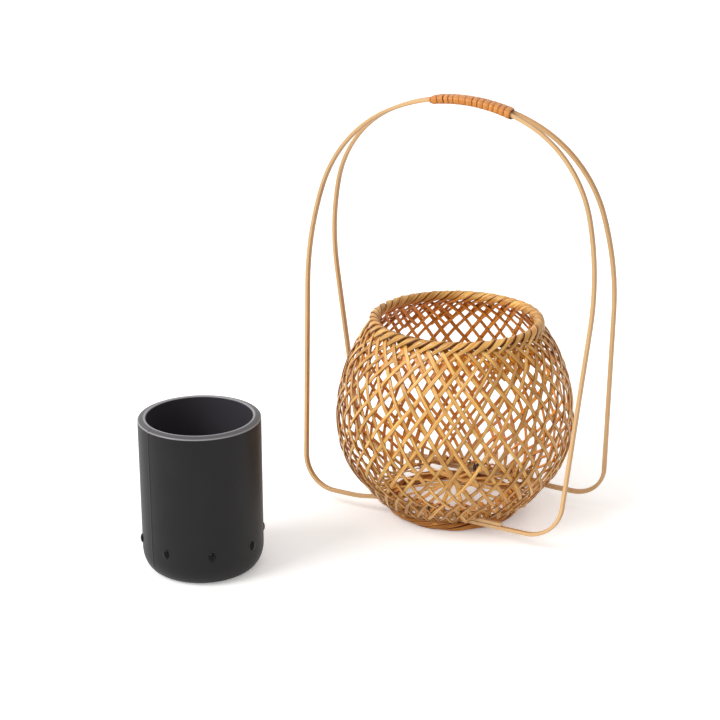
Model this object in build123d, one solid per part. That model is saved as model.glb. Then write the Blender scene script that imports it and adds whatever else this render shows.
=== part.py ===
from build123d import *
import os
from math import asin, atan, cos, degrees, hypot, radians, sin, tan

# A handled flower basket of split bamboo, and the loose water cup that stands beside it.
# Millimetres, +Z up. The origin is the middle of the foot ring's underside; the handle runs along X.

# Clearances between neighbouring pieces
seat_gap = 0.2
layer_gap = 0.2
rim_gap = 0.3
tie_gap = 0.2
binding_gap = 0.3

# Foot ring: a round ring, cut flat where it stands
foot_outer_radius = 48.8
foot_height = 8.2
foot_flat_depth = 0.5

# Handle hoops: two bent splints that lean together and meet at the top
splint_width = 4.0
splint_thickness = 2.5
splint_edge_radius = 0.6
handle_height = 301.0
handle_tilt = 7.8
handle_top_gap = 0.3
handle_half_width = 109.5
handle_widest_height = 173.0
handle_leg_lean = 3.5
handle_corner_radius = 25.0
handle_top_radius = 125.0
handle_top_arc_end = 25.0
handle_shoulder_end = 75.0

# Lap of each hoop's two ends under the basket
lap_gap = 0.2
lap_lower_end = -30.0
lap_upper_end = 58.0
lap_ramp_start = -62.0
lap_ramp_length = 28.0

# Wire ties round the laps
tie_wire = 0.9
tie_turns = 3
tie_pitch = 1.7

# Base star: strips that cross at the middle, and reach out under the inner ends of the wall strips
base_strips = 8
base_strip_width = 3.3
base_strip_thickness = 0.5
base_stack_gap = 0.15
base_lap = 5.0
base_slope_start = 12.0
base_slope_inset = 7.0
base_bend_radius = 40.0

# Wall: strips on a round body, all one way in the outer layer and the other way in the inner
strips_each_way = 42
strip_width = 2.6
strip_thickness = 0.8
strip_slope = 56.0
strip_slope_at_rim = 35.0
strip_flattening_length = 12.0
strip_stations = 24
strip_inner_radius = 41.0
wall_start_radius = 49.0
belly_radius = 84.5
belly_height = 70.0

# Rim rope, and the strip ends tucked down inside the wall below it
rim_radius = 58.3
rim_height = 142.3
rim_rope_diameter = 7.2
tail_stations = 5

# Flat cane wound round both splints at the top
binding_turns = 15
binding_pitch = 4.4
binding_width = 3.6
binding_thickness = 1.0
binding_corner_radius = 1.55
binding_start = -26.0

# Water cup
cup_x = -107.0
cup_y = -167.0
cup_radius = 41.0
cup_mouth_radius = 35.5
cup_height = 107.4
cup_rim_drop = 1.5
cup_floor = 4.0
cup_edge_across = 9.5
cup_edge_up = 15.0
cup_inner_edge_radius = 7.0
stud_count = 8
stud_width = 4.6
stud_height = 7.0
stud_proud = 1.2
stud_root = 0.6
stud_round = 0.8
stud_level = 22.0
stud_first_angle = -3.0


def copies_round(shape, count, first_angle=0.0):
    """The shape repeated evenly round the vertical axis."""
    return [Rot(0, 0, first_angle + 360 / count * i) * shape for i in range(count)]


# Heights that follow from the stack under the basket
tilt_cos = cos(radians(handle_tilt))
tilt_sin = sin(radians(handle_tilt))
splint_half_rise = splint_thickness / 2 * tilt_cos + splint_width / 2 * tilt_sin
tie_reach = tie_gap + tie_wire
tie_half_rise = (splint_thickness / 2 + tie_reach) * tilt_cos + (splint_width / 2 + tie_reach) * tilt_sin
run_height = foot_height + seat_gap + tie_half_rise
lap_rise = splint_thickness + lap_gap
base_underside = run_height + lap_rise * tilt_cos + splint_half_rise + seat_gap
layer_offset = (strip_thickness + layer_gap) / 2
wall_start_height = base_underside + base_strip_thickness + seat_gap + layer_offset + strip_thickness / 2
base_reach = wall_start_radius + base_lap
base_slope_end = strip_inner_radius - base_slope_inset


# Foot ring
def make_foot_ring():
    section_radius = (foot_height + foot_flat_depth) / 2
    ring = Pos(0, 0, foot_height - section_radius) * Torus(foot_outer_radius - section_radius, section_radius)
    table = Pos(0, 0, -foot_height / 2) * Box(3 * foot_outer_radius, 3 * foot_outer_radius, foot_height)
    return ring - table


# Base star: each strip humps a little higher at the middle than the one below it
def make_base_strip(index):
    hump = (index + 1) * (base_strip_thickness + base_stack_gap)
    level = base_underside + base_strip_thickness / 2
    path = FilletPolyline(
        (-base_reach, 0, level),
        (-base_slope_end, 0, level),
        (-base_slope_start, 0, level + hump),
        (base_slope_start, 0, level + hump),
        (base_slope_end, 0, level),
        (base_reach, 0, level),
        radius=base_bend_radius,
    )
    end = Plane(origin=path @ 0, x_dir=(0, 1, 0), z_dir=(1, 0, 0))
    strip = sweep(end * Rectangle(base_strip_width, base_strip_thickness), path)
    return Rot(0, 0, 180 / base_strips * (index + 0.5)) * strip


# Wall strips: one path up the round body, turned by its slope as it climbs
def wall_profile():
    """Level over the base, a quarter ellipse out to the belly, then an arc in towards the rope's middle."""
    bowl = EllipticalCenterArc(
        (wall_start_radius, belly_height),
        belly_radius - wall_start_radius,
        belly_height - wall_start_height,
        start_angle=270,
        arc_size=90,
    )
    level = Line((strip_inner_radius, wall_start_height), bowl @ 0)
    inward = belly_radius - rim_radius
    upward = rim_height - belly_height
    shoulder_radius = hypot(inward, upward) ** 2 / (2 * inward)
    short_of_rope = rim_rope_diameter / 2 + rim_gap
    turn = 2 * atan(inward / upward) - 2 * asin(short_of_rope / (2 * shoulder_radius))
    shoulder = JernArc(bowl @ 1, (0, 1), shoulder_radius, degrees(turn))
    return Wire([level, bowl, shoulder])


def wall_stations(slope_at_rim):
    """Turn in degrees, radius, height, direction of climb and slope at even steps up the wall."""
    profile = wall_profile()
    step = profile.length / strip_stations
    turn = 0.0
    stations = []
    for i in range(strip_stations + 1):
        point = profile @ (i / strip_stations)
        climb = profile % (i / strip_stations)
        left = profile.length - i * step
        flatten = max(0.0, 1 - left / strip_flattening_length)
        slope = radians(strip_slope + (slope_at_rim - strip_slope) * flatten)
        stations.append((turn, point.X, point.Y, climb.X, climb.Y, slope))
        turn += degrees(step / (point.X * tan(slope)))
    return stations


def make_strip(stations, hand, offset):
    """One strip that climbs to the right (hand 1) or the left (hand -1), offset outwards from the wall."""
    sections = []
    for turn, radius, height, climb_out, climb_up, slope in stations:
        out_x = cos(radians(hand * turn))
        out_y = sin(radians(hand * turn))
        r = radius + offset * climb_up
        z = height - offset * climb_out
        place = Plane(
            origin=(r * out_x, r * out_y, z),
            x_dir=(-out_y, out_x, 0),
            z_dir=(climb_out * out_x, climb_out * out_y, climb_up),
        )
        sections.append(place * Rectangle(strip_width / sin(slope), strip_thickness))
    return loft(sections)


# Rim rope
def make_rim_rope():
    return Pos(0, 0, rim_height) * Torus(rim_radius, rim_rope_diameter / 2)


# Handle hoops, drawn in the plane of the hoop: along the run, and up from it
top_offset = splint_width / 2 * tilt_cos + splint_thickness / 2 * tilt_sin + handle_top_gap / 2
arch_top = (handle_height - splint_half_rise - run_height) / tilt_cos
run_spread = top_offset + arch_top * tilt_sin
hoop_plane = Plane(
    origin=(0, -run_spread, run_height),
    x_dir=(1, 0, 0),
    z_dir=(0, -tilt_cos, tilt_sin),
)


def arch_radii(widest):
    """Radii of the shoulder and side arcs that join the top arc to the widest point."""
    top_sin = sin(radians(handle_top_arc_end))
    top_cos = cos(radians(handle_top_arc_end))
    end_sin = sin(radians(handle_shoulder_end))
    end_cos = cos(radians(handle_shoulder_end))
    width = handle_half_width - handle_top_radius * top_sin
    drop = arch_top - widest - handle_top_radius * (1 - top_cos)
    scale = (end_sin - top_sin) * end_cos - (1 - end_sin) * (top_cos - end_cos)
    shoulder = (width * end_cos - drop * (1 - end_sin)) / scale
    side = ((end_sin - top_sin) * drop - (top_cos - end_cos) * width) / scale
    return shoulder, side


def make_hoop():
    widest = (handle_widest_height - run_height) / tilt_cos
    shoulder_radius, side_radius = arch_radii(widest)
    lean = radians(handle_leg_lean)
    leg_top_x = handle_half_width - side_radius * (1 - cos(lean))
    leg_top_y = widest - side_radius * sin(lean)
    corner_turn = 90 - handle_leg_lean
    corner_x = leg_top_x - leg_top_y * tan(lean) - handle_corner_radius * tan(radians(corner_turn / 2))
    side_turn = handle_leg_lean + 90 - handle_shoulder_end
    shoulder_turn = handle_shoulder_end - handle_top_arc_end

    lower_run = Line((lap_lower_end, 0), (corner_x, 0))
    right_corner = JernArc((corner_x, 0), (1, 0), handle_corner_radius, corner_turn)
    right_leg = Line(right_corner @ 1, (leg_top_x, leg_top_y))
    right_side = JernArc(right_leg @ 1, right_leg % 1, side_radius, side_turn)
    right_shoulder = JernArc(right_side @ 1, right_side % 1, shoulder_radius, shoulder_turn)
    top = JernArc(right_shoulder @ 1, right_shoulder % 1, handle_top_radius, 2 * handle_top_arc_end)
    left_shoulder = JernArc(top @ 1, top % 1, shoulder_radius, shoulder_turn)
    left_side = JernArc(left_shoulder @ 1, left_shoulder % 1, side_radius, side_turn)
    leg_foot = right_corner @ 1
    left_leg = Line(left_side @ 1, (-leg_foot.X, leg_foot.Y))
    left_corner = JernArc(left_leg @ 1, left_leg % 1, handle_corner_radius, corner_turn)
    left_run = Line(left_corner @ 1, (lap_ramp_start, 0))
    ramp_turn = 2 * atan(lap_rise / lap_ramp_length)
    ramp_radius = lap_ramp_length / 2 / sin(ramp_turn)
    ramp_up = JernArc(left_run @ 1, (1, 0), ramp_radius, degrees(ramp_turn))
    ramp_level = JernArc(ramp_up @ 1, ramp_up % 1, ramp_radius, -degrees(ramp_turn))
    upper_run = Line(ramp_level @ 1, (lap_upper_end, lap_rise))
    path = Wire(
        [
            lower_run, right_corner, right_leg, right_side, right_shoulder, top, left_shoulder,
            left_side, left_leg, left_corner, left_run, ramp_up, ramp_level, upper_run,
        ]
    )
    end = Plane(origin=(lap_lower_end, 0, 0), x_dir=(0, 0, 1), z_dir=(1, 0, 0))
    section = end * RectangleRounded(splint_width, splint_thickness, splint_edge_radius)
    return hoop_plane.location * sweep(section, path)


# Wire tie: turns round the two splints of a lap, in the plane of the hoop
def make_tie():
    beside = splint_width / 2 + tie_gap + tie_wire / 2
    below = -splint_thickness / 2 - tie_gap - tie_wire / 2
    above = lap_rise - below
    corners = [(below, beside), (above, beside), (above, -beside), (below, -beside)]
    points = []
    for i in range(4 * tie_turns + 1):
        along = tie_pitch * (i / 4 - tie_turns / 2)
        points.append((along, *corners[i % 4]))
    print("tie least gap to itself:", round(least_gap(points, points, 4) - tie_wire, 2), "mm")
    path = FilletPolyline(*points, radius=tie_wire)
    end = Plane(origin=path @ 0, z_dir=path % 0)
    return hoop_plane.location * sweep(end * Circle(tie_wire / 2), path)


def least_gap(one_edge, other_edge, steps_per_turn):
    """Shortest distance from points of one edge to points of the other a turn or more further on."""
    return min(
        (Vector(*a) - Vector(*b)).length
        for i, a in enumerate(one_edge)
        for b in other_edge[i + steps_per_turn - 1:]
    )


# Handle binding: flat cane wound along the top arc, round a rounded box that holds both splints
def make_binding():
    half_rise = splint_half_rise + binding_gap + binding_thickness / 2
    edge_reach = splint_width / 2 * tilt_cos + splint_thickness / 2 * tilt_sin
    steps = [(1, 0), (1, 45), (1, 90), (-1, 90), (-1, 135), (-1, 180)]
    steps_per_turn = 2 * len(steps)
    centres = []
    outs = []
    axes = []
    for i in range(binding_turns * steps_per_turn + 1):
        distance = binding_start + binding_pitch * i / steps_per_turn
        angle = distance / handle_top_radius
        arch_x = handle_top_radius * sin(angle)
        arch_y = arch_top - handle_top_radius * (1 - cos(angle))
        along = Vector(cos(angle), 0, -sin(angle) * tilt_cos).normalized()
        up = Vector(-along.Z, 0, along.X)
        half_width = run_spread - arch_y * tilt_sin + edge_reach + binding_gap + binding_thickness / 2
        below = i % steps_per_turn >= len(steps)
        side, turn = steps[i % len(steps)]
        if below:
            side, turn = -side, turn + 180
        out = Vector(0, cos(radians(turn)), 0) + up * sin(radians(turn))
        corner = Vector(0, side * (half_width - binding_corner_radius), 0)
        corner += up * ((-1 if below else 1) * (half_rise - binding_corner_radius))
        middle = Vector(arch_x, 0, run_height + arch_y * tilt_cos)
        centres.append(middle + corner + out * binding_corner_radius)
        outs.append(out)
        axes.append(along)
    left_edge = []
    right_edge = []
    sections = []
    for i, centre in enumerate(centres):
        ahead = centres[min(i + 1, len(centres) - 1)] - centres[max(i - 1, 0)]
        across = outs[i].cross(ahead).normalized()
        place = Plane(origin=centre, x_dir=across, z_dir=across.cross(outs[i]))
        sections.append(place * Rectangle(binding_width, binding_thickness))
        left_edge.append(centre - across * (binding_width / 2))
        right_edge.append(centre + across * (binding_width / 2))
    gap = min(least_gap(left_edge, right_edge, steps_per_turn), least_gap(right_edge, left_edge, steps_per_turn))
    print("handle_binding least gap to itself:", round(gap, 2), "mm")
    return loft(sections)


# Water cup: turned shell with a sloped rim, and studs moulded on its wall
def make_cup():
    outer_edge = cup_radius - cup_edge_across
    inner_edge = cup_mouth_radius - cup_inner_edge_radius
    outline = [
        Line((0, 0), (outer_edge, 0)),
        EllipticalCenterArc((outer_edge, cup_edge_up), cup_edge_across, cup_edge_up, start_angle=270, arc_size=90),
        Line((cup_radius, cup_edge_up), (cup_radius, cup_height - cup_rim_drop)),
        Line((cup_radius, cup_height - cup_rim_drop), (cup_mouth_radius, cup_height)),
        Line((cup_mouth_radius, cup_height), (cup_mouth_radius, cup_floor + cup_inner_edge_radius)),
        JernArc((cup_mouth_radius, cup_floor + cup_inner_edge_radius), (0, -1), cup_inner_edge_radius, -90),
        Line((inner_edge, cup_floor), (0, cup_floor)),
        Line((0, cup_floor), (0, 0)),
    ]
    shell = revolve(Plane.XZ * make_face(outline), Axis.Z)
    root = Plane(origin=(cup_radius - stud_root, 0, stud_level), x_dir=(0, 1, 0), z_dir=(1, 0, 0))
    stud = extrude(root * Ellipse(stud_width / 2, stud_height / 2), stud_root + stud_proud)
    stud = fillet(stud.faces().sort_by(Axis.X)[-1].edges(), stud_round)
    return Pos(cup_x, cup_y, 0) * (shell + copies_round(stud, stud_count, stud_first_angle))


def write(name, solids):
    export_step(solids[0] if len(solids) == 1 else Compound(solids), f"parts/{name}.step")


os.makedirs("parts", exist_ok=True)
write("water_cup", [make_cup()])
write("foot_ring", [make_foot_ring()])
write("rim_rope", [make_rim_rope()])
for strip_index in range(base_strips):
    write(f"base_strip_{strip_index + 1}", [make_base_strip(strip_index)])

right_stations = wall_stations(strip_slope_at_rim)
left_stations = wall_stations(strip_slope)
tail_offset = -layer_offset - strip_thickness - layer_gap
write("right_rising_strips", copies_round(make_strip(right_stations, 1, layer_offset), strips_each_way))
write("left_rising_strips", copies_round(make_strip(left_stations, -1, -layer_offset), strips_each_way))
write("tucked_tails", copies_round(make_strip(left_stations[-tail_stations:], -1, tail_offset), strips_each_way))

front_hoop = make_hoop()
front_tie = make_tie()
write("front_hoop", [front_hoop])
write("back_hoop", [Rot(0, 0, 180) * front_hoop])
write("front_tie", [front_tie])
write("back_tie", [Rot(0, 0, 180) * front_tie])
write("handle_binding", [make_binding()])
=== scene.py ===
from math import asin, atan, ceil, cos, floor, hypot, pi, radians, sin, tan, tanh

import bpy
import numpy as np
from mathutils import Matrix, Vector


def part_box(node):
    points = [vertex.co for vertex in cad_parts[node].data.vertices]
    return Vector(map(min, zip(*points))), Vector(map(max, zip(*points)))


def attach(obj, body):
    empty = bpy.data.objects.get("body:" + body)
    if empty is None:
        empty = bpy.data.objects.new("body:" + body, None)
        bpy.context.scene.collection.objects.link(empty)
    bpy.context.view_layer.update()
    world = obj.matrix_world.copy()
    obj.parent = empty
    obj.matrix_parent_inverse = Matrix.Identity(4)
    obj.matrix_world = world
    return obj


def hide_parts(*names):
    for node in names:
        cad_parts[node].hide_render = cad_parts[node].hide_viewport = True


# Looks of the handled bamboo flower basket and its water cup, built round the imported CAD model.
# Sizes are millimetres and angles degrees; a mesh is turned into metres when it is made.

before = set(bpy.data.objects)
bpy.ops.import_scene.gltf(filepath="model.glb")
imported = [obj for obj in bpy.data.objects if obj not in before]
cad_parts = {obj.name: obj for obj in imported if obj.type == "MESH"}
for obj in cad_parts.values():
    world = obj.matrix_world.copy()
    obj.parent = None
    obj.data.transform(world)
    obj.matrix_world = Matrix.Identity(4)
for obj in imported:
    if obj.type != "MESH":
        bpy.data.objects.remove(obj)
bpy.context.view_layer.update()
random_seed = 11
rng = np.random.default_rng(random_seed)
MM = 0.001


def box_mm(node):
    """Lowest and highest corner of a CAD node, in millimetres."""
    low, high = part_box(node)
    return np.array(low) / MM, np.array(high) / MM


# Places that the CAD model gives
rim_low, rim_high = box_mm("rim_rope")
rope_radius = (rim_high[2] - rim_low[2]) / 2
rim_height = (rim_high[2] + rim_low[2]) / 2
rim_radius = rim_high[0] - rope_radius
foot_height = box_mm("foot_ring")[1][2]
foot_outer_radius = box_mm("foot_ring")[1][0]
handle_height = box_mm("front_hoop")[1][2]
run_spread = -np.mean(box_mm("front_tie"), axis=0)[1]
cup_low, cup_high = box_mm("water_cup")

# Wall: the body's profile and the strips on it
strips_each_way = 42
strip_pitch = 2 * pi / strips_each_way
strip_width = 2.7
strip_width_at_rim = 3.0
strip_widening_length = 45.0
strip_thickness = 0.8
strip_slope = 56.0
strip_slope_at_rim = 35.0
strip_flattening_length = 12.0
strip_sway = 0.8
strip_stray = 0.45
sway_waves = (85, 150)
width_spread = 0.14
width_sway = 0.05
width_waves = (30, 60)
roll_sway = 5.0
roll_waves = (40, 90)
layer_gap = 0.2
layer_offset = (strip_thickness + layer_gap) / 2
strip_inner_radius = 41.0
wall_start_radius = 49.0
wall_start_height = box_mm("left_rising_strips")[0][2] + layer_offset + strip_thickness / 2
belly_radius = 84.5
belly_height = 70.0
rim_gap = 0.3
weave_rows = 4
weave_phase = 1.5
weave_sharpness = 3.0
bowl_steps = 400
arc_steps = 200
profile_step = 0.5
profile_steps_kept = 3
strip_step = profile_steps_kept * profile_step

# Lower edge: it sinks between the places where the handle passes under it
lip_radius = 54.5
lip_reach = 15.5
lip_depth = 7.6
lip_twist = 35.0
lip_skin = 0.8
run_half_width = 1.0
run_margin = 2.2

# Rim: where the strips leave the wall, wrap the rope and come down inside
strand_width = 5.2
strand_thickness = 1.5
strand_slope = 32.0
strand_roll = 8.0
strand_leave = 2.5
core_gap = 0.1
core_radius = rope_radius - strand_thickness - core_gap
wrap_start = 0.0
wrap_end = 228.0
wrap_steps = 80
wrap_looseness = 0.3
strand_foot_width = 3.2
swell_start = 35.0
swell_end = 175.0
tail_start = 4.0
tail_length = 29.0
tail_width = 2.4
tail_slope = 50.0
tail_looseness = 0.6
longest_tail_cut = 13.0
folded_share = 0.85

# Foot ring
foot_strands = 7
foot_turns = 3
foot_strand_width = 3.1
foot_strand_thickness = 1.5
foot_strand_roll = 10.0
foot_lay_sway = 0.15
foot_reach_sway = 0.35
foot_width_sway = 0.14
foot_steps = 360
foot_core_gap = 0.3
ring_steps = 180

# Handle: two hoops that lean together, and the cane bound round them
handle_tilt = 7.8
handle_top_radius = 125.0
handle_half_rise = 1.51
splint_reach = 4.45
binding_turns = 15
binding_pitch = 4.3
binding_thickness = 1.0
binding_gap = 0.6
binding_start = -24.5
binding_tuck = 1.6
binding_least_tuck = 0.08
binding_thin_end = 0.4
binding_squareness = 3.0
binding_pitch_spread = 0.12
binding_spread_limit = 1.6
binding_gaps = (0.0, 0.1, 0.55)
binding_roll = 3.0
binding_steps = 48

# Wire ties
tie_turns = 3
tie_wire = 0.9
tie_pitch = 1.7
tie_half_across = 2.65
tie_half_up = 3.25
tie_squareness = 5.0
tie_sway = 0.3
tie_sway_waves = (1.3, 2.1)
tie_steps = 40

# Base star
base_strips = 8
base_strip_width = 3.3
base_strip_thickness = 0.5
base_reach = 54.0
base_slope_start = 12.0
base_slope_end = 34.0
base_step = 1.5
base_angle_spread = 2.5
base_offset_spread = 1.3
base_sway = 0.5
base_sway_waves = (70, 110)
base_width_spread = 0.15
base_width_waves = (25, 60)

# Water cup
cup_radius = 41.0
cup_mouth_radius = 35.5
cup_rim_drop = 1.5
cup_floor = 4.0
cup_edge_across = 9.5
cup_edge_up = 15.0
cup_inner_edge_radius = 7.0
cup_rim_round = 1.0
cup_corner_steps = 10
cup_edge_steps = 16
cup_side_steps = 160
cup_middle_radius = 0.4
cup_inside_margin = 0.05
cup_sharp_angle = 50.0
cup_seam_angle = -111.0
cup_seam_width = 0.45
cup_seam_rise = 0.25
cup_seam_reach = 3
cup_seam_clear = 4
cup_seam_points = 13
cup_seam_stop = 1.5
cup_seam_top = 4.0
cup_seam_notch = 2 * cup_seam_rise
stud_count = 8
stud_width = 4.6
stud_height = 7.0
stud_proud = 1.5
stud_root = 0.3
stud_level = 22.0
stud_first_angle = -3.0
stud_rings = 7
stud_sides = 28

# Cup's rim: how light its painted highlight is on the flat, and the share of the flat after which it lightens
# to the inner highlight line
cup_rim_flat_highlight = 0.26
cup_rim_line = 0.8
# Points of the cup's outline: the rim's outer edge comes after the underside, the lower edge and the side
cup_outer_edge = cup_edge_steps + 2
cup_flat_end = cup_outer_edge + cup_corner_steps

# Sections as shares of half the width and half the thickness, from the right edge over the outer face
SPLINT = np.array([
    (1, -0.6), (1, 0.3), (0.82, 0.85), (0.45, 1.1), (0, 1.2),
    (-0.45, 1.1), (-0.82, 0.85), (-1, 0.3), (-1, -0.6), (-0.85, -1), (0.85, -1),
])
CANE = np.array([
    (1, -0.7), (0.97, 0.1), (0.7, 0.75), (0.3, 1), (-0.3, 1),
    (-0.7, 0.75), (-0.97, 0.1), (-1, -0.7), (-0.8, -1), (0.8, -1),
])
BAND = np.array([
    (1, -0.8), (1, 0.3), (0.92, 0.75), (0.7, 0.97), (0, 1),
    (-0.7, 0.97), (-0.92, 0.75), (-1, 0.3), (-1, -0.8), (-0.9, -1), (0.9, -1),
])
round_sides = 12
ROUND = np.array([(cos(2 * pi * i / round_sides), sin(2 * pi * i / round_sides)) for i in range(round_sides)])
UP = (0.0, 0.0, 1.0)


# Lines

def even_steps(line, step):
    """The same line with points at even steps. Two columns are the place, and the rest go along."""
    lengths = np.hypot(np.diff(line[:, 0]), np.diff(line[:, 1]))
    marks = np.concatenate([[0], np.cumsum(lengths)])
    wanted = np.linspace(0, marks[-1], ceil(marks[-1] / step) + 1)
    return np.column_stack([np.interp(wanted, marks, column) for column in line.T])


def eased(line, steps):
    """The line with its corners eased over that many steps on each side."""
    weights = np.hanning(2 * steps + 3)[1:-1]
    weights /= weights.sum()
    padded = np.pad(line, ((steps, steps), (0, 0)), mode="reflect", reflect_type="odd")
    return np.column_stack([np.convolve(column, weights, mode="valid") for column in padded.T])


def wander(along, size, wavelengths):
    """A slow random sway along a strip."""
    sway = np.zeros_like(along)
    for wavelength in wavelengths:
        sway += np.sin(2 * pi * (along / wavelength + rng.random()))
    return size * sway / len(wavelengths)


def unit(vectors):
    """The same directions, one long."""
    return vectors / np.linalg.norm(vectors, axis=-1, keepdims=True)


# Meshes

class Sweeps:
    """Strips swept along lines and gathered into one mesh, with what the material reads on it."""

    def __init__(self):
        self.points = []
        self.faces = []
        self.values = {"along": [], "across": [], "side": [], "tint": []}
        self.count = 0

    def add(self, line, outs, section, width, thickness, roll=0.0, bare=0.0, tint=None, closed=False):
        """Carries the section along the line; outs point away from what the strip lies on.

        Bare at -1 shows flesh on both faces, at 1 skin on both, and at 0 skin on the outer one alone.
        """
        if closed:
            ahead = unit(np.roll(line, -1, axis=0) - np.roll(line, 1, axis=0))
        else:
            ahead = unit(np.gradient(line, axis=0))
        across = unit(np.cross(ahead, outs))
        up = np.cross(across, ahead)
        rows = len(line)
        turn = np.radians(np.broadcast_to(roll, rows))[:, None]
        across, up = across * np.cos(turn) + up * np.sin(turn), up * np.cos(turn) - across * np.sin(turn)
        half_width = np.broadcast_to(width, rows)[:, None, None] / 2
        half_thickness = np.broadcast_to(thickness, rows)[:, None, None] / 2
        points = line[:, None, :] + across[:, None, :] * section[None, :, :1] * half_width
        points = points + up[:, None, :] * section[None, :, 1:] * half_thickness
        size = len(section)
        step = np.arange(rows if closed else rows - 1)[:, None]
        corner = np.arange(size)[None, :]
        here = step * size
        there = (step + 1) % rows * size
        after = (corner + 1) % size
        quads = np.stack([here + corner, there + corner, there + after, here + after], axis=-1)
        self.faces.extend((quads.reshape(-1, 4) + self.count).tolist())
        if not closed:
            first = np.arange(size) + self.count
            self.faces.append(first.tolist())
            self.faces.append((first + (rows - 1) * size)[::-1].tolist())
        marks = np.concatenate([[0], np.cumsum(np.linalg.norm(np.diff(line, axis=0), axis=1))])
        self.points.append(points.reshape(-1, 3))
        self.values["along"].append(np.repeat(marks, size))
        self.values["across"].append(np.tile(section[:, 0], rows))
        bare = np.broadcast_to(bare, rows)[:, None]
        self.values["side"].append((section[None, :, 1] * (1 - np.abs(bare)) + bare).ravel())
        self.values["tint"].append(np.full(rows * size, rng.random() if tint is None else tint))
        self.count += rows * size

    def piece(self, name, material, slot, replaced=()):
        """One object of all the strips, pressed flat where it stands."""
        values = {key: np.concatenate(parts) for key, parts in self.values.items()}
        points = np.concatenate(self.points)
        points[:, 2] = np.maximum(points[:, 2], 0)
        make_piece(name, points, self.faces, material, replaced, "basket", values)


def make_piece(name, points, faces, material, replaced, body, values=None, sharp_angle=35.0):
    """A smooth-shaded mesh object that rides on a body, from points in millimetres."""
    mesh = bpy.data.meshes.new(name)
    mesh.from_pydata((np.asarray(points) * MM).tolist(), [], faces)
    for key, numbers in (values or {}).items():
        mesh.attributes.new(key, "FLOAT", "POINT").data.foreach_set("value", numbers.astype(np.float32))
    mesh.shade_smooth()
    mesh.set_sharp_from_angle(angle=radians(sharp_angle))
    mesh.materials.append(material)
    piece = bpy.data.objects.new(name, mesh)
    bpy.context.scene.collection.objects.link(piece)
    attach(piece, body)
    if replaced:
        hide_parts(*replaced)


# Materials

def linear(red, green, blue):
    """A colour as read off a screen, from 0 to 255, as Blender takes it."""
    shares = [channel / 255 for channel in (red, green, blue)]
    return (*[s / 12.92 if s <= 0.04045 else ((s + 0.055) / 1.055) ** 2.4 for s in shares], 1.0)


class Graph:
    """A new material's nodes, with short calls to add and join them."""

    def __init__(self, name):
        self.material = bpy.data.materials.new(name)
        self.material.use_nodes = True
        self.tree = self.material.node_tree
        self.shader = self.tree.nodes["Principled BSDF"]

    def add(self, kind, inputs=(), **settings):
        """A new node, with values or other nodes' results on its inputs."""
        node = self.tree.nodes.new(kind)
        for key, value in settings.items():
            setattr(node, key, value)
        for socket, value in dict(inputs).items():
            self.put(node.inputs[socket], value)
        return node

    def put(self, socket, value):
        if isinstance(value, bpy.types.NodeSocket):
            self.tree.links.new(value, socket)
        else:
            socket.default_value = value

    def math(self, operation, first, second=0.0):
        return self.add("ShaderNodeMath", {0: first, 1: second}, operation=operation).outputs[0]

    def spread(self, value, low, high, to_low, to_high):
        """The value's range stretched onto another, and held at its ends."""
        limits = {"From Min": low, "From Max": high, "To Min": to_low, "To Max": to_high}
        return self.add("ShaderNodeMapRange", {"Value": value, **limits}).outputs["Result"]

    def mix(self, share, first, second, blend="MIX"):
        node = self.add("ShaderNodeMix", data_type="RGBA", blend_type=blend)
        self.put(node.inputs[0], share)
        self.put(node.inputs[6], first)
        self.put(node.inputs[7], second)
        return node.outputs[2]

    def vector(self, x, y, z):
        return self.add("ShaderNodeCombineXYZ", {0: x, 1: y, 2: z}).outputs[0]

    def noise(self, vector, scale, detail):
        inputs = {"Vector": vector, "Scale": scale, "Detail": detail}
        return self.add("ShaderNodeTexNoise", inputs).outputs["Fac"]

    def attribute(self, name):
        return self.add("ShaderNodeAttribute", attribute_name=name).outputs["Fac"]

    def bump(self, height, strength, distance):
        inputs = {"Height": height, "Strength": strength, "Distance": distance * MM}
        self.put(self.shader.inputs["Normal"], self.add("ShaderNodeBump", inputs).outputs["Normal"])


# Bamboo's grain: how far its noise moves per millimetre along a strip and per half width across it
fibre_along = 0.045
fibre_across = 2.6
fibre_scale = 1.6
cloud_along = 0.02
cloud_across = 0.2
cloud_scale = 1.0
grain_apart = 60.0
green_power = 1.25
blue_power = 1.7


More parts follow.
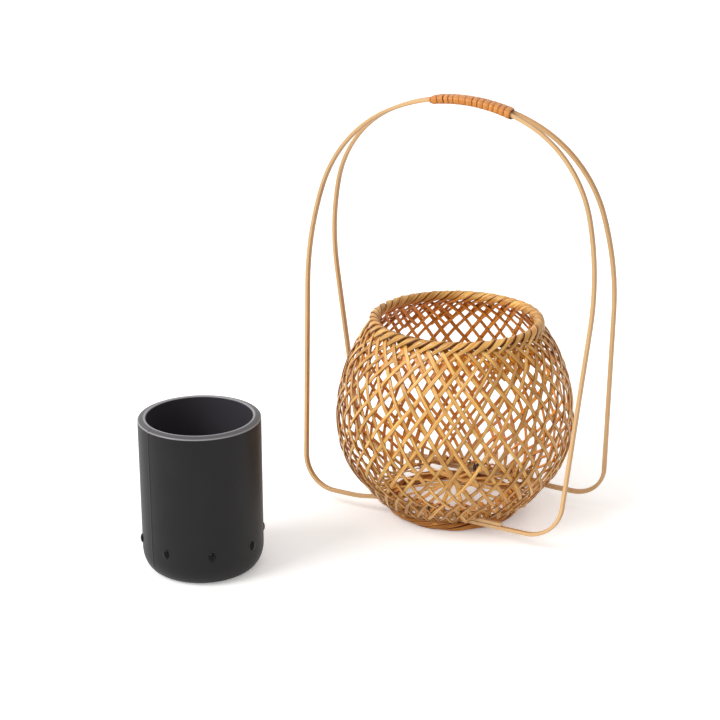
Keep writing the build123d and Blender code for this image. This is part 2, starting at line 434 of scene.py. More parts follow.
def bamboo(name, skin, streak, flesh, gloss, specular=0.55, tint_range=(0.82, 1.14), edge_shade=0.78):
    """Split bamboo: skin with long fibres outside, darker flesh inside, and a tone of its own per strip."""
    graph = Graph(name)
    along = graph.attribute("along")
    across = graph.attribute("across")
    tint = graph.attribute("tint")
    own = graph.math("MULTIPLY", tint, grain_apart)

    def grain(per_along, per_across, scale, detail):
        """Noise that is drawn out along the strip and differs from strip to strip."""
        x = graph.math("MULTIPLY", along, per_along)
        y = graph.math("MULTIPLY", across, per_across)
        return graph.noise(graph.vector(x, y, own), scale, detail)

    fibre = grain(fibre_along, fibre_across, fibre_scale, detail=5.0)
    cloud = grain(cloud_along, cloud_across, cloud_scale, detail=2.0)
    outer = graph.mix(graph.spread(fibre, 0.3, 0.62, 0.0, 1.0), streak, skin)
    facing = graph.spread(graph.attribute("side"), -0.7, 0.4, 1.0, 0.0)
    colour = graph.mix(facing, outer, flesh)
    tone = graph.spread(tint, 0.0, 1.0, *tint_range)
    # The last shade is painted shade: each strip darkens towards its edges
    shades = (
        graph.spread(cloud, 0.25, 0.75, 0.86, 1.1),
        graph.spread(fibre, 0.3, 0.7, 0.88, 1.08),
        graph.spread(graph.math("ABSOLUTE", across), 0.76, 1.0, 1.0, edge_shade),
    )
    for shade in shades:
        tone = graph.math("MULTIPLY", tone, shade)
    # A darker tone is a warmer one too, both a strip's own tone and the painted shade along its edges
    green = graph.math("POWER", tone, green_power)
    blue = graph.math("POWER", tone, blue_power)
    colour = graph.mix(1.0, colour, graph.vector(tone, green, blue), "MULTIPLY")
    graph.put(graph.shader.inputs["Base Color"], colour)
    graph.put(graph.shader.inputs["Roughness"], graph.spread(fibre, 0.25, 0.75, gloss + 0.14, gloss))
    graph.shader.inputs["Specular IOR Level"].default_value = specular
    graph.bump(fibre, strength=0.7, distance=0.2)
    return graph.material


# Hoops' grain, per metre round the hoop and per millimetre through it, and the metres that cut ends lie up
hoop_grain = 14.0
hoop_fibre_through = 2.2
hoop_cloud_through = 0.1
hoop_end_height = 0.02
hoop_end_blend = 0.002


def hoop_bamboo(name, skin, streak, pith, end_grain, normal, origin):
    """A bent splint: fibres lie level with the hoop's plane, so they follow it all the way round."""
    graph = Graph(name)

    def along_normal(vector):
        product = graph.add("ShaderNodeVectorMath", {0: vector, 1: normal}, operation="DOT_PRODUCT")
        return product.outputs["Value"]

    place = graph.add("ShaderNodeTexCoord").outputs["Object"]
    start = tuple(value * MM for value in origin)
    moved = graph.add("ShaderNodeVectorMath", {0: place, 1: start}, operation="SUBTRACT")
    depth = graph.math("DIVIDE", along_normal(moved.outputs[0]), MM)
    apart = graph.add("ShaderNodeSeparateXYZ", {0: place})
    slow_x = graph.math("MULTIPLY", apart.outputs["X"], hoop_grain)
    slow_z = graph.math("MULTIPLY", apart.outputs["Z"], hoop_grain)

    def grain(through, scale, detail):
        layer = graph.math("MULTIPLY", depth, through)
        return graph.noise(graph.vector(layer, slow_x, slow_z), scale, detail)

    fibre = grain(hoop_fibre_through, scale=1.5, detail=4.0)
    tone = grain(hoop_cloud_through, scale=0.8, detail=2.0)
    facing = graph.add("ShaderNodeNewGeometry").outputs["Normal"]
    sideways = graph.math("ABSOLUTE", along_normal(facing))
    colour = graph.mix(graph.spread(fibre, 0.35, 0.65, 0.0, 1.0), streak, skin)
    colour = graph.mix(graph.spread(sideways, 0.5, 0.9, 0.0, 0.75), colour, pith)
    turned = graph.add("ShaderNodeSeparateXYZ", {0: facing})
    lengthways = graph.math("ABSOLUTE", turned.outputs["X"])
    end_limits = (hoop_end_height - hoop_end_blend, hoop_end_height + hoop_end_blend)
    low_down = graph.spread(apart.outputs["Z"], *end_limits, 1.0, 0.0)
    end = graph.math("MULTIPLY", graph.spread(lengthways, 0.9, 0.97, 0.0, 1.0), low_down)
    colour = graph.mix(end, colour, end_grain)
    shade = graph.spread(tone, 0.25, 0.75, 0.84, 1.1)
    colour = graph.mix(1.0, colour, graph.vector(shade, shade, shade), "MULTIPLY")
    graph.put(graph.shader.inputs["Base Color"], colour)
    graph.put(graph.shader.inputs["Roughness"], graph.spread(fibre, 0.25, 0.75, 0.52, 0.36))
    graph.shader.inputs["Specular IOR Level"].default_value = 0.45
    graph.bump(fibre, strength=0.3, distance=0.1)
    return graph.material


grains_per_cloud = 60


def dark_plastic(name, colour, speck, gloss, grain, specular, relief=0.08, highlight_colour=None, inside=None):
    """Black plastic with a fine matte grain; mesh marks give the rim gloss and painted highlights, the inside
    painted light.
    """
    graph = Graph(name)
    place = graph.add("ShaderNodeTexCoord").outputs["Object"]
    fine = graph.noise(place, grain, detail=4.0)
    cloud = graph.noise(place, grain / grains_per_cloud, detail=3.0)
    shade = graph.mix(graph.spread(cloud, 0.3, 0.7, 0.0, 1.0), colour, speck)
    rough = graph.spread(fine, 0.3, 0.7, gloss - 0.06, gloss + 0.08)
    if highlight_colour:
        polish_and_highlight = graph.attribute("polish_and_highlight")
        shade = graph.mix(polish_and_highlight, shade, highlight_colour)
        shade = graph.mix(graph.attribute("inner"), shade, inside)
        rough = graph.math("MULTIPLY", rough, graph.spread(polish_and_highlight, 0.0, 1.0, 1.0, 0.5))
    graph.put(graph.shader.inputs["Base Color"], shade)
    graph.put(graph.shader.inputs["Roughness"], rough)
    graph.shader.inputs["Specular IOR Level"].default_value = specular
    graph.bump(fine, strength=0.25, distance=relief)
    return graph.material


wall_bamboo = bamboo(
    "wall_bamboo", linear(247, 201, 114), linear(182, 102, 26), linear(240, 157, 50),
    gloss=0.28, specular=0.42, tint_range=(0.7, 1.1), edge_shade=0.42,
)
rim_core_bamboo = bamboo(
    "rim_core_bamboo", linear(150, 86, 32), linear(110, 58, 20), linear(80, 42, 16), gloss=0.5,
)
foot_bamboo = bamboo(
    "foot_bamboo", linear(234, 160, 68), linear(140, 72, 22), linear(76, 40, 14),
    gloss=0.42, specular=0.4, edge_shade=0.14,
)
base_bamboo = bamboo(
    "base_bamboo", linear(248, 196, 104), linear(218, 152, 66), linear(190, 120, 50), gloss=0.45,
)
binding_cane = bamboo(
    "binding_cane", linear(222, 150, 70), linear(196, 112, 44), linear(134, 74, 28),
    gloss=0.34, specular=0.4, tint_range=(0.93, 1.02), edge_shade=0.36,
)
tie_metal = dark_plastic(
    "tie_metal", linear(26, 25, 26), linear(40, 37, 36), gloss=0.35, grain=4000, specular=0.5,
)
# The rim's lighter colour paints highlights on its edges, where light would catch them
cup_plastic = dark_plastic(
    "cup_plastic", linear(18, 17, 18), linear(23, 22, 23), gloss=0.46, grain=2600, specular=0.24,
    # The inside colour is lighter than the body's: painted light inside the cup
    highlight_colour=linear(146, 143, 146), inside=linear(56, 54, 59),
)
stud_plastic = dark_plastic(
    "stud_plastic", linear(4, 4, 4), linear(7, 7, 7), gloss=0.07, grain=900, specular=0.13, relief=0.005,
)


# Wall and rim

def wall_profile(short_of_rope):
    """Radius and height up the wall: level, a quarter ellipse to the belly, an arc towards the rope."""
    sweep = np.linspace(0, pi / 2, bowl_steps)
    bowl_radius = wall_start_radius + (belly_radius - wall_start_radius) * np.sin(sweep)
    bowl_height = belly_height - (belly_height - wall_start_height) * np.cos(sweep)
    bowl = np.column_stack([bowl_radius, bowl_height])
    inward = belly_radius - rim_radius
    upward = rim_height - belly_height
    arc_radius = hypot(inward, upward) ** 2 / (2 * inward)
    turn = 2 * atan(inward / upward) - 2 * asin(short_of_rope / (2 * arc_radius))
    sweep = np.linspace(0, turn, arc_steps)[1:]
    shoulder = np.column_stack([
        belly_radius - arc_radius * (1 - np.cos(sweep)),
        belly_height + arc_radius * np.sin(sweep),
    ])
    level = (strip_inner_radius, wall_start_height)
    return even_steps(np.vstack([level, bowl, shoulder]), profile_step)


def outward(line):
    """Directions to the right of a line in radius and height, so outwards on the way up the wall."""
    ahead = unit(np.gradient(line[:, :2], axis=0))
    return np.column_stack([ahead[:, 1], -ahead[:, 0]])


def weave_lift(profile, right_slope):
    """How far a left-rising strip stands out: over two crossings, under two, and over at the rim."""
    rate = (1 / np.tan(np.radians(right_slope)) + 1 / tan(radians(strip_slope))) / profile[:, 0]
    rows = np.cumsum(rate * profile_step) / strip_pitch
    wave = np.sin(2 * pi * (rows - floor(rows[-1]) + weave_phase) / weave_rows)
    return layer_offset * np.tanh(weave_sharpness * wave) / tanh(weave_sharpness * sin(pi / weave_rows))


def smooth(share):
    """The share from 0 to 1 with a slow start and end."""
    return share * share * (3 - 2 * share)


def lip_share(x, y, z):
    """From 0 to 1 towards the basket's lower edge."""
    off = np.clip(np.abs(np.hypot(x, y) - lip_radius) / lip_reach, 0, 1)
    return np.where(z < belly_height / 2, np.cos(pi / 2 * off) ** 2, 0)


def lip_sink(x, y, z):
    """How far the lower edge sinks, which is nothing over the handle's runs."""
    clear = np.clip((np.abs(np.abs(y) - run_spread) - run_half_width) / run_margin, 0, 1)
    return lip_depth * lip_share(x, y, z) * smooth(clear)


class Course:
    """The way that a family of strips takes: place, facing and turn round the basket at even steps."""

    def __init__(self, line, ease):
        line = eased(even_steps(line, profile_step), ease)[::profile_steps_kept]
        self.place = line[:, :2]
        self.out = outward(line)
        steps = np.hypot(np.diff(line[:, 0]), np.diff(line[:, 1]))
        self.along = np.concatenate([[0], np.cumsum(steps)])
        rate = 1 / np.tan(np.radians(line[:, 2])) / line[:, 0]
        self.turn = np.concatenate([[0], np.cumsum(steps * (rate[1:] + rate[:-1]) / 2)])
        self.lift, self.loose, self.width, self.thickness, self.roll, self.bare = line[:, 3:].T

    def lay(self, sweeps, start, hand, cut=0):
        """Adds a strip that starts at an angle, turns right (hand 1) or left (-1) and is cut by steps."""
        keep = len(self.along) - cut
        along = self.along[:keep]
        sway = wander(along, strip_sway, sway_waves) + strip_stray * rng.standard_normal()
        angle = start + hand * self.turn[:keep] + self.loose[:keep] * np.radians(sway)
        place = self.place[:keep] + self.out[:keep] * self.lift[:keep, None]
        x = place[:, 0] * np.cos(angle)
        y = place[:, 0] * np.sin(angle)
        z = place[:, 1]
        out = self.out[:keep]
        outs = np.column_stack([out[:, 0] * np.cos(angle), out[:, 0] * np.sin(angle), out[:, 1]])
        breadth = 1 + rng.uniform(-width_spread, width_spread) + wander(along, width_sway, width_waves)
        width = self.width[:keep] * breadth
        roll = self.roll[:keep] + wander(along, roll_sway, roll_waves)
        lip = lip_share(x, y, z)
        roll = roll + lip_twist * rng.uniform(-1, 1) * lip
        bare = self.bare[:keep] + lip_skin * lip
        line = np.column_stack([x, y, z - lip_sink(x, y, z)])
        sweeps.add(line, outs, SPLINT, width, self.thickness[:keep], roll, bare)


def columns(line, slope, lift, loose, width, thickness, roll=0.0, bare=0.0):
    """The line with slope, lift, looseness, width, thickness, roll and bare as more columns."""
    values = (slope, lift, loose, width, thickness, roll, bare)
    return np.column_stack([line, *[np.broadcast_to(value, len(line)) for value in values]])


def tail_cut():
    """How many steps a tail is cut short by."""
    return rng.integers(0, int(longest_tail_cut / strip_step))


def tail_columns(line):
    """Columns of a strip's end that comes down inside the wall, coloured as flesh on both faces."""
    return columns(line, tail_slope, 0.0, tail_looseness, tail_width, strip_thickness, bare=-1.0)


def make_wall():
    """Right-rising strips, which end as the rope and its tails, and left-rising ones, folded inside."""
    profile = wall_profile(rope_radius + rim_gap)
    left_to_go = profile_step * np.arange(len(profile))[::-1]
    flatten = np.clip(1 - left_to_go / strip_flattening_length, 0, 1)
    right_slope = strip_slope + (strip_slope_at_rim - strip_slope) * flatten
    lift = weave_lift(profile, right_slope)

    psi = np.linspace(wrap_start, wrap_end, wrap_steps)
    swell = np.interp(psi, (wrap_start, swell_start, swell_end, wrap_end), (0, 1, 1, 0))
    around = np.column_stack([np.cos(np.radians(psi)), np.sin(np.radians(psi))])
    wrap_line = np.array((rim_radius, rim_height)) + (rope_radius - strand_thickness / 2) * around
    wrap_width = strand_foot_width + (strand_width - strand_foot_width) * swell
    wrap_bare = np.interp(psi, (swell_end, wrap_end), (0, -1))
    wrap_roll = strand_roll * swell
    wrap = columns(
        wrap_line, strand_slope, 0.0, wrap_looseness, wrap_width, strand_thickness, wrap_roll, wrap_bare,
    )
    inner = profile - outward(profile) * (layer_offset + strip_thickness + layer_gap)
    hanging = (left_to_go >= tail_start) & (left_to_go <= tail_length)
    tail = tail_columns(inner[hanging][::-1])
    wall = columns(profile, right_slope, -lift, 1.0, strip_width, strip_thickness)
    course = Course(np.vstack([wall[left_to_go >= strand_leave], wrap, tail]), ease=5)
    right = Sweeps()
    for i in range(strips_each_way):
        course.lay(right, strip_pitch * i, 1, tail_cut())
    replaced = ["right_rising_strips", "tucked_tails"]
    right.piece("right_rising_splints", wall_bamboo, "wall_bamboo", replaced)

    longer = wall_profile(core_radius)
    lift = np.pad(lift, (0, len(longer) - len(profile)), mode="edge")
    left_to_go_up = profile_step * np.arange(len(longer))[::-1]
    width = np.interp(left_to_go_up, (0, strip_widening_length), (strip_width_at_rim, strip_width))
    course = Course(columns(longer, strip_slope, lift, 1.0, width, strip_thickness), ease=1)
    left = Sweeps()
    for i in range(strips_each_way):
        course.lay(left, strip_pitch * i, -1)
    left.piece("left_rising_splints", wall_bamboo, "wall_bamboo", ["left_rising_strips"])

    end_turn = course.turn[-1]
    deeper = inner - outward(profile) * (strip_thickness + layer_gap)
    hanging = (left_to_go >= tail_start / 2) & (left_to_go <= tail_length)
    course = Course(tail_columns(deeper[hanging][::-1]), ease=1)
    folded = Sweeps()
    for i in range(strips_each_way):
        if rng.random() < folded_share:
            course.lay(folded, strip_pitch * i - end_turn, -1, tail_cut())
    folded.piece("folded_ends", wall_bamboo, "wall_bamboo")


def ring(radius, height, steps):
    """A level circle of points, and directions up from it."""
    angle = np.linspace(0, 2 * pi, steps, endpoint=False)
    line = np.column_stack([radius * np.cos(angle), radius * np.sin(angle), np.full(steps, height)])
    return line, np.tile(UP, (steps, 1))


def make_rim_core():
    """The ring that the rope's strands wrap."""
    core = Sweeps()
    line, up = ring(rim_radius, rim_height, ring_steps)
    core.add(line, up, ROUND, 2 * core_radius, 2 * core_radius, closed=True)
    core.piece("rim_core", rim_core_bamboo, "wall_bamboo", ["rim_rope"])


# Foot ring and base star

def make_foot():
    """Long strips laid round a core, and flattened where they stand."""
    half_height = foot_height / 2
    ring_radius = foot_outer_radius - half_height
    angle = np.linspace(0, 2 * pi, foot_steps, endpoint=False)

    def swell(size, waves):
        """Even waves round the ring that start anywhere."""
        return size * np.sin(waves * angle + 2 * pi * rng.random())

    least_reach = half_height - foot_strand_thickness / 2 - foot_reach_sway
    foot = Sweeps()
    for i in range(foot_strands):
        psi = foot_turns * angle + 2 * pi * i / foot_strands + swell(foot_lay_sway, waves=3)
        reach = least_reach + swell(foot_reach_sway, waves=5)
        out_r = np.cos(psi)
        out_z = np.sin(psi)
        radius = ring_radius + reach * out_r
        height = half_height + reach * out_z
        line = np.column_stack([radius * np.cos(angle), radius * np.sin(angle), height])
        outs = np.column_stack([out_r * np.cos(angle), out_r * np.sin(angle), out_z])
        width = foot_strand_width * (1 + swell(foot_width_sway, waves=4))
        foot.add(line, outs, CANE, width, foot_strand_thickness, foot_strand_roll, closed=True)
    foot.piece("foot_strands", foot_bamboo, "foot_bamboo", ["foot_ring"])
    core = Sweeps()
    line, up = ring(ring_radius, half_height, ring_steps)
    thick = 2 * (half_height - foot_strand_thickness - foot_core_gap)
    core.add(line, up, ROUND, thick, thick, closed=True)
    core.piece("foot_core", rim_core_bamboo, "foot_bamboo")


def make_base():
    """Strips that cross at the middle, each humped over the ones below it."""
    along = np.arange(-base_reach, base_reach + 1, base_step)
    share = np.clip((base_slope_end - np.abs(along)) / (base_slope_end - base_slope_start), 0, 1)
    hump = smooth(share)
    for i in range(base_strips):
        node = f"base_strip_{i + 1}"
        low, high = box_mm(node)
        level = low[2] + base_strip_thickness / 2
        rise = high[2] - low[2] - base_strip_thickness
        turned = rng.uniform(-base_angle_spread, base_angle_spread)
        angle = radians(180 / base_strips * (i + 0.5) + turned)
        offset = rng.uniform(-base_offset_spread, base_offset_spread)
        aside = offset + wander(along, base_sway, base_sway_waves)
        x = along * cos(angle) - aside * sin(angle)
        y = along * sin(angle) + aside * cos(angle)
        z = level + rise * hump
        line = np.column_stack([x, y, z - lip_sink(x, y, z)])
        spread = rng.uniform(-base_width_spread, base_width_spread)
        width = base_strip_width * (1 + spread + wander(along, width_sway, base_width_waves))
        strip = Sweeps()
        strip.add(line, np.tile(UP, (len(line), 1)), SPLINT, width, base_strip_thickness)
        strip.piece(f"base_splint_{i + 1}", base_bamboo, "wall_bamboo", [node])


# Handle

def box_turn(turn, half_across, half_up, squareness):
    """Place and facing on a rounded box, a whole turn being 2 pi."""
    c = np.cos(turn)
    s = np.sin(turn)
    power = 2 / squareness
    place = np.column_stack([
        half_across * np.sign(c) * np.abs(c) ** power,
        half_up * np.sign(s) * np.abs(s) ** power,
    ])
    facing = np.column_stack([
        np.sign(c) * np.abs(c) ** (2 - power) / half_across,
        np.sign(s) * np.abs(s) ** (2 - power) / half_up,
    ])
    return place, unit(facing)


def make_binding():
    """Flat cane wound over both splints from the back, with turns that lie close or a little apart."""
    stray = rng.standard_normal(binding_turns).clip(-binding_spread_limit, binding_spread_limit)
    pitches = binding_pitch * (1 + binding_pitch_spread * stray)
    pitches *= binding_turns * binding_pitch / pitches.sum()
    marks = binding_start + np.concatenate([[0], np.cumsum(pitches)])
    gaps = rng.choice(binding_gaps, binding_turns)
    turns = np.arange(binding_turns * binding_steps + 1) / binding_steps
    middles = np.arange(binding_turns) + 0.5
    tuck = np.clip(turns / binding_tuck, binding_least_tuck, 1)
    thickness = binding_thickness * (binding_thin_end + (1 - binding_thin_end) * tuck)
    full = np.interp(turns, middles, pitches - gaps)
    width = full * tuck
    distance = np.interp(turns, np.arange(binding_turns + 1), marks) + (full - width) / 2
    bend = distance / handle_top_radius
    drop = handle_top_radius * (1 - np.cos(bend))
    lift = binding_gap * tuck + thickness / 2
    half_across = splint_reach + drop * sin(radians(handle_tilt)) + lift
    place, facing = box_turn(2 * pi * turns, half_across, handle_half_rise + lift, binding_squareness)
    none = np.zeros_like(bend)
    up = np.column_stack([np.sin(bend), none, np.cos(bend)])
    middle_height = handle_height - handle_half_rise - drop * cos(radians(handle_tilt))
    middle = np.column_stack([handle_top_radius * np.sin(bend), none, middle_height])
    line = middle + up * place[:, 1:] + np.column_stack([none, place[:, 0], none])
    outs = up * facing[:, 1:] + np.column_stack([none, facing[:, 0], none])
    binding = Sweeps()
    binding.add(line, outs, BAND, width, thickness, binding_roll, tint=0.5)
    binding.piece("binding_cane", binding_cane, "binding_cane", ["handle_binding"])


def hoop_axes(side):
    """Normal and upward direction of the front (-1) or back (1) hoop's plane."""
    tilt = radians(handle_tilt)
    return np.array((0.0, side * cos(tilt), sin(tilt))), np.array((0.0, -side * sin(tilt), cos(tilt)))


def make_tie(node, side):
    """Turns of wire round a hoop where it is tied to the base."""
    low, high = box_mm(node)
    normal, up = hoop_axes(side)
    turns = np.linspace(0, tie_turns, tie_turns * tie_steps)
    place, facing = box_turn(2 * pi * turns + pi / 2, tie_half_across, tie_half_up, tie_squareness)
    shift = tie_pitch * (turns - tie_turns / 2) + wander(turns, tie_sway, tie_sway_waves)
    line = (low + high) / 2 + np.outer(shift, (1, 0, 0))
    line = line + np.outer(place[:, 0], normal) + np.outer(place[:, 1], up)
    outs = np.outer(facing[:, 0], normal) + np.outer(facing[:, 1], up)
    tie = Sweeps()
    tie.add(line, outs, ROUND, tie_wire, tie_wire)
    tie.piece(f"{node}_wire", tie_metal, "tie_wire", [node])


def dress_hoops():
    """Gives the hoops of the CAD model their bamboo."""
    for node, side in (("front_hoop", -1), ("back_hoop", 1)):
        normal = hoop_axes(side)[0]
        top = (0.0, side * splint_reach / 2, box_mm(node)[1][2])
        material = hoop_bamboo(
            f"{node}_bamboo", skin=linear(212, 168, 114), streak=linear(186, 134, 78),
            pith=linear(216, 178, 128), end_grain=linear(236, 210, 164), normal=tuple(normal), origin=top,
        )
        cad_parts[node].data.materials.clear()
        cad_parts[node].data.materials.append(material)


# Water cup

def rounded(corners, steps):
    """Points of a line whose corners, each a place and a radius, are arcs."""
    places = np.array([corner[:2] for corner in corners], float)
    points = [places[0]]
    for i in range(1, len(corners) - 1):
        back = unit(places[i - 1] - places[i])
        on = unit(places[i + 1] - places[i])
        opening = np.arccos(np.clip(back @ on, -1, 1))
        reach = corners[i][2] / np.tan(opening / 2)
        centre = places[i] + unit(back + on) * corners[i][2] / np.sin(opening / 2)
        for share in np.linspace(0, 1, steps):
            way = (1 - share) * back + share * on
            spot = places[i] + way * reach
            points.append(centre + unit(spot - centre) * corners[i][2])
    points.append(places[-1])
    return np.array(points)


def ring_faces(low, high, size):
    """Faces between two rings of points, given by their first points."""
    corner = np.arange(size)
    after = (corner + 1) % size
    return np.stack([low + corner, low + after, high + after, high + corner], axis=-1).tolist()


def cup_outline(height):
    """Radius and height from the middle of the underside, over the rim, to the middle of the floor."""
    turn = np.linspace(0, pi / 2, cup_edge_steps)
    edge = np.column_stack([
        cup_radius - cup_edge_across * (1 - np.sin(turn)),
        cup_edge_up * (1 - np.cos(turn)),
    ])
    upper = rounded([
        (cup_radius, 2 * cup_edge_up, 0),
        (cup_radius, height - cup_rim_drop, cup_rim_round),
        (cup_mouth_radius, height, cup_rim_round),
        (cup_mouth_radius, cup_floor, cup_inner_edge_radius),
        (cup_middle_radius, cup_floor, 0),
    ], cup_corner_steps)
    outline = np.vstack([(cup_middle_radius, 0.0), edge, upper])
    flat_start = outline[cup_flat_end - 1]
    on_flat = flat_start + cup_rim_line * (outline[cup_flat_end] - flat_start)
    return np.insert(outline, cup_flat_end, on_flat, axis=0)


def cup_angles(seam):
    """Angles round the cup, close together at the moulding seam, and how far each is from it."""
    seam_angle = cup_seam_width / cup_radius
    near_seam = seam + np.linspace(-cup_seam_reach, cup_seam_reach, cup_seam_points) * seam_angle
    even = np.linspace(seam, seam + 2 * pi, cup_side_steps, endpoint=False)
    clear = np.abs((even - seam + pi) % (2 * pi) - pi) > cup_seam_clear * seam_angle
    angles = np.sort(np.concatenate([even[clear], near_seam]) % (2 * pi))
    return angles, (angles - seam + pi) % (2 * pi) - pi


def make_cup(centre, height):
    """The moulded cup, with its seam and the glossier edges of its rim, lightened as painted highlights."""
    outline = cup_outline(height)
    angles, apart = cup_angles(radians(cup_seam_angle))
    seam_share = np.exp(-(apart * cup_radius / cup_seam_width) ** 2)
    outside = (outline[:, 0] > cup_mouth_radius + cup_seam_stop).astype(float)
    at_rim = outside * (outline[:, 1] > height - cup_seam_top)
    radius = outline[:, 0][:, None] + outside[:, None] * seam_share[None, :] * cup_seam_rise
    level = outline[:, 1][:, None] - at_rim[:, None] * seam_share[None, :] * cup_seam_notch
    points = np.stack([radius * np.cos(angles), radius * np.sin(angles), level], axis=-1)
    size = len(angles)
    rows = len(outline)
    faces = []
    for i in range(rows - 1):
        faces.extend(ring_faces(i * size, (i + 1) * size, size))
    corner = np.arange(size)
    faces.append(corner[::-1].tolist())
    faces.append((corner + (rows - 1) * size).tolist())

    # A painted highlight line along each edge of the rim, which is glossier there too
    share = np.linspace(0, 1, cup_corner_steps)
    polish_and_highlight = np.zeros(rows)
    polish_and_highlight[cup_outer_edge:cup_flat_end] = np.interp(share, (0, 0.35, 0.65, 1), (0, 1, 1, cup_rim_flat_highlight))
    polish_and_highlight[cup_flat_end] = cup_rim_flat_highlight
    inner_start = cup_flat_end + 1
    polish_and_highlight[inner_start:inner_start + cup_corner_steps] = np.interp(share, (0, 0.65, 1), (1, 1, 0))
    inner = np.arange(rows) > np.argmax(outline[:, 1])
    inner &= outline[:, 0] < cup_mouth_radius + cup_inside_margin
    marks = {"polish_and_highlight": np.repeat(polish_and_highlight, size), "inner": np.repeat(inner.astype(float), size)}
    make_piece(
        "cup_shell", points.reshape(-1, 3) + centre, faces, cup_plastic, ["water_cup"], "cup",
        marks, cup_sharp_angle,
    )


def make_studs(centre):
    """Smooth oval knobs round the cup, a little above its foot."""
    turn = np.linspace(0, 2 * pi, stud_sides, endpoint=False)
    up = np.array(UP)
    faces = []
    for j in range(stud_rings - 1):
        faces.extend(ring_faces(j * stud_sides, (j + 1) * stud_sides, stud_sides))
    tip = stud_rings * stud_sides
    corner = tip - stud_sides + np.arange(stud_sides)
    after = np.roll(corner, -1)
    faces.extend(np.stack([corner, after, np.full(stud_sides, tip)], axis=-1).tolist())
    for i in range(stud_count):
        angle = radians(stud_first_angle + 360 / stud_count * i)
        out = np.array((cos(angle), sin(angle), 0))
        aside = np.array((-sin(angle), cos(angle), 0))
        middle = centre + out * (cup_radius - stud_root) + up * stud_level
        oval = np.outer(np.cos(turn) * stud_width / 2, aside)
        oval = oval + np.outer(np.sin(turn) * stud_height / 2, up)
        points = []
        for rise in np.linspace(0, pi / 2, stud_rings, endpoint=False):
            points.append(middle + cos(rise) * oval + (stud_root + stud_proud) * sin(rise) * out)
        points.append((middle + (stud_root + stud_proud) * out)[None, :])
        name = f"cup_stud_{i + 1}"
        make_piece(name, np.concatenate(points), faces, stud_plastic, [], "cup")


make_wall()
make_rim_core()
make_foot()
make_base()
make_binding()
make_tie("front_tie", -1)
make_tie("back_tie", 1)
dress_hoops()
cup_centre = np.append((cup_low[:2] + cup_high[:2]) / 2, 0)
make_cup(cup_centre, cup_high[2])
make_studs(cup_centre)


# Stage, light and camera, in metres
floor_half = 6.0
floor_colour = (0.97, 0.97, 0.97, 1)
floor_roughness = 0.9
floor_specular = 0.1
floor_lift = 0.3
white = (1, 1, 1, 1)
world_strength = 0.34
world_colour = (1.0, 0.92, 0.86, 1.0)
lamp_colour = (0.97, 0.99, 1.0)
softbox_from = (-0.53, -0.75, 0.78)
softbox_strength = 2.05
softbox_width = 34
dome_from = (-0.5, -0.35, 1.0)
dome_strength = 1.3
dome_width = 140
camera_place = (0.5138, -1.0665, 0.5332)
camera_target = (-0.05955, -0.03304, 0.1124)
camera_lens = 88.08
sensor_width = 36.0


def seen_rays(tree):
    """1 for the rays that show the backdrop: to the camera, in gloss and through glass."""
    rays = tree.nodes.new("ShaderNodeLightPath").outputs
    seen = rays["Is Camera Ray"]
    for kind in ("Is Glossy Ray", "Is Transmission Ray"):
        either = tree.nodes.new("ShaderNodeMath")
        either.operation = "MAXIMUM"
        tree.links.new(seen, either.inputs[0])
        tree.links.new(rays[kind], either.inputs[1])
        seen = either.outputs[0]
    return seen


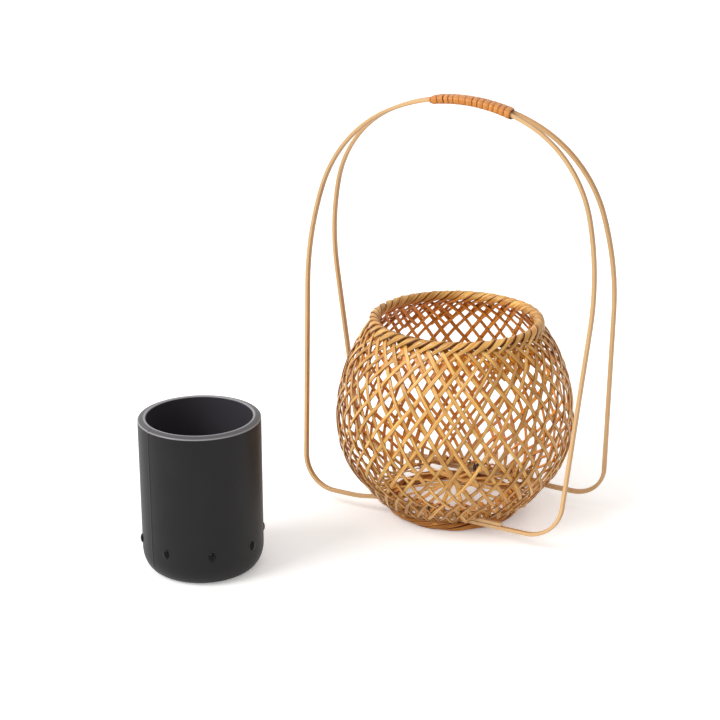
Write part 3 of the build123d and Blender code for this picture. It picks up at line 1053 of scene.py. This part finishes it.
def make_floor():
    """A white floor whose shadows look lighter than they fall."""
    low, high = -floor_half, floor_half
    mesh = bpy.data.meshes.new("floor")
    mesh.from_pydata([(low, low, 0), (high, low, 0), (high, high, 0), (low, high, 0)], [], [(0, 1, 2, 3)])
    ground = bpy.data.objects.new("floor", mesh)
    bpy.context.scene.collection.objects.link(ground)
    graph = Graph("floor_white")
    graph.shader.inputs["Base Color"].default_value = floor_colour
    graph.shader.inputs["Roughness"].default_value = floor_roughness
    graph.shader.inputs["Specular IOR Level"].default_value = floor_specular
    lift = graph.math("MULTIPLY", seen_rays(graph.tree), floor_lift)
    glow = graph.add("ShaderNodeEmission", {"Color": white, "Strength": lift})
    both = graph.add("ShaderNodeAddShader", {0: graph.shader.outputs[0], 1: glow.outputs[0]})
    graph.put(graph.tree.nodes["Material Output"].inputs["Surface"], both.outputs[0])
    mesh.materials.append(graph.material)


def make_world():
    """Even, faintly warm light all round; the camera and gloss see plain white."""
    world = bpy.data.worlds.new("studio")
    bpy.context.scene.world = world
    world.use_nodes = True
    tree = world.node_tree
    light = tree.nodes["Background"]
    light.inputs["Color"].default_value = world_colour
    light.inputs["Strength"].default_value = world_strength
    backdrop = tree.nodes.new("ShaderNodeBackground")
    backdrop.inputs["Color"].default_value = white
    both = tree.nodes.new("ShaderNodeMixShader")
    tree.links.new(seen_rays(tree), both.inputs[0])
    tree.links.new(light.outputs[0], both.inputs[1])
    tree.links.new(backdrop.outputs[0], both.inputs[2])
    tree.links.new(both.outputs[0], tree.nodes["World Output"].inputs["Surface"])


def make_sun(name, origin, strength, width):
    """A soft lamp that shines from that direction, and is that many degrees wide."""
    lamp = bpy.data.lights.new(name, "SUN")
    lamp.energy = strength
    lamp.angle = radians(width)
    lamp.color = lamp_colour
    sun = bpy.data.objects.new(name, lamp)
    sun.rotation_mode = "QUATERNION"
    sun.rotation_quaternion = Vector(origin).to_track_quat("Z", "Y")
    bpy.context.scene.collection.objects.link(sun)


def make_camera():
    """The photograph's view."""
    data = bpy.data.cameras.new("camera")
    data.lens = camera_lens
    data.sensor_width = sensor_width
    camera = bpy.data.objects.new("camera", data)
    camera.location = camera_place
    camera.rotation_mode = "QUATERNION"
    aim = Vector(camera_target) - Vector(camera_place)
    camera.rotation_quaternion = aim.to_track_quat("-Z", "Y")
    bpy.context.scene.collection.objects.link(camera)
    bpy.context.scene.camera = camera


make_floor()
make_world()
make_sun("softbox", softbox_from, softbox_strength, softbox_width)
make_sun("dome", dome_from, dome_strength, dome_width)
make_camera()
bpy.context.scene.view_settings.view_transform = "Standard"


def corners(box):
    """A box's two corners as plain lists."""
    return [[float(number) for number in corner] for corner in box]
